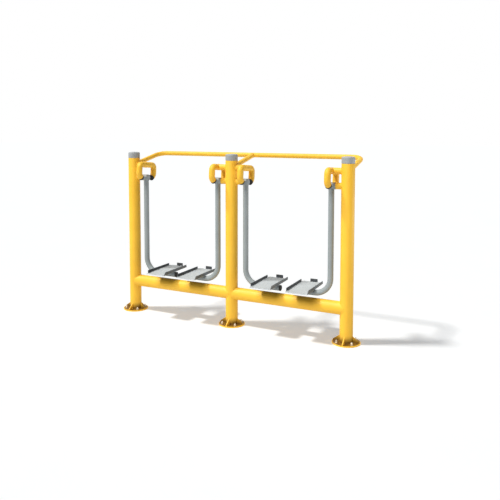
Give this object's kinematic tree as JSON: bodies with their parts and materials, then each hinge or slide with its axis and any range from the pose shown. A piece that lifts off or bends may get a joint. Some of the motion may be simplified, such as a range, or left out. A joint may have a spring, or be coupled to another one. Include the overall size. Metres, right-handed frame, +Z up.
{
  "type": "outdoor air walker",
  "caption": "Double outdoor air walker: round posts with flanged bases, low cross tubes, a rear handrail and swinging J-shaped arms with foot plates.",
  "frame": {"origin": "on the ground, at the centre of the middle post's base flange underside", "axes": "+X along the row of posts to the right seen from the open front, +Y to the rear toward the handrail, +Z up"},
  "size_m": [2.3126, 0.662, 1.5103],
  "materials": {
    "yellow_powder_coat": "smooth satin powder coat",
    "grey_enamel": "satin enamel",
    "grey_plastic": "matt moulded",
    "zinc_plate": "bright zinc plate",
    "bright_steel": "turned",
    "bronze": "turned",
    "tread_plate": "speckled tread sheet",
    "black_rubber": "matt"
  },
  "bodies": {
    "frame": {"left_post": "yellow_powder_coat", "left_post_cap": "grey_plastic", "left_base_flange": "yellow_powder_coat", "left_anchor_bolt_1": "zinc_plate", "left_anchor_bolt_2": "zinc_plate", "left_anchor_bolt_3": "zinc_plate", "left_anchor_bolt_4": "zinc_plate", "middle_post": "yellow_powder_coat", "middle_post_cap": "grey_plastic", "middle_base_flange": "yellow_powder_coat", "middle_anchor_bolt_1": "zinc_plate", "middle_anchor_bolt_2": "zinc_plate", "middle_anchor_bolt_3": "zinc_plate", "middle_anchor_bolt_4": "zinc_plate", "right_post": "yellow_powder_coat", "right_post_cap": "grey_plastic", "right_base_flange": "yellow_powder_coat", "right_anchor_bolt_1": "zinc_plate", "right_anchor_bolt_2": "zinc_plate", "right_anchor_bolt_3": "zinc_plate", "right_anchor_bolt_4": "zinc_plate", "left_lower_tube": "yellow_powder_coat", "right_lower_tube": "yellow_powder_coat", "handrail": "yellow_powder_coat", "left_outer_stop_bracket": "yellow_powder_coat", "left_outer_front_buffer": "black_rubber", "left_outer_back_buffer": "black_rubber", "left_outer_pivot_stub": "yellow_powder_coat", "left_outer_pivot_axle": "bright_steel", "left_inner_stop_bracket": "yellow_powder_coat", "left_inner_front_buffer": "black_rubber", "left_inner_back_buffer": "black_rubber", "left_inner_pivot_stub": "yellow_powder_coat", "left_inner_pivot_axle": "bright_steel", "right_inner_stop_bracket": "yellow_powder_coat", "right_inner_front_buffer": "black_rubber", "right_inner_back_buffer": "black_rubber", "right_inner_pivot_stub": "yellow_powder_coat", "right_inner_pivot_axle": "bright_steel", "right_outer_stop_bracket": "yellow_powder_coat", "right_outer_front_buffer": "black_rubber", "right_outer_back_buffer": "black_rubber", "right_outer_pivot_stub": "yellow_powder_coat", "right_outer_pivot_axle": "bright_steel"},
    "left_outer_arm_body": {"left_outer_bearing_bush": "bronze", "left_outer_swing_arm": "grey_enamel", "left_outer_end_plug": "black_rubber", "left_outer_foot_plate": "tread_plate"},
    "left_inner_arm_body": {"left_inner_bearing_bush": "bronze", "left_inner_swing_arm": "grey_enamel", "left_inner_end_plug": "black_rubber", "left_inner_foot_plate": "tread_plate"},
    "right_inner_arm_body": {"right_inner_bearing_bush": "bronze", "right_inner_swing_arm": "grey_enamel", "right_inner_end_plug": "black_rubber", "right_inner_foot_plate": "tread_plate"},
    "right_outer_arm_body": {"right_outer_bearing_bush": "bronze", "right_outer_swing_arm": "grey_enamel", "right_outer_end_plug": "black_rubber", "right_outer_foot_plate": "tread_plate"}
  },
  "joints": [
    {"name": "left_outer_swing", "type": "hinge", "parent": "frame", "child": "left_outer_arm_body", "pos_m": [-0.903, 0, 1.27], "axis": [1, 0, 0], "range_deg": [-60, 50]},
    {"name": "left_inner_swing", "type": "hinge", "parent": "frame", "child": "left_inner_arm_body", "pos_m": [-0.137, 0, 1.27], "axis": [1, 0, 0], "range_deg": [-60, 50]},
    {"name": "right_inner_swing", "type": "hinge", "parent": "frame", "child": "right_inner_arm_body", "pos_m": [0.137, 0, 1.27], "axis": [1, 0, 0], "range_deg": [-60, 50]},
    {"name": "right_outer_swing", "type": "hinge", "parent": "frame", "child": "right_outer_arm_body", "pos_m": [0.903, 0, 1.27], "axis": [1, 0, 0], "range_deg": [-60, 50]}
  ]
}
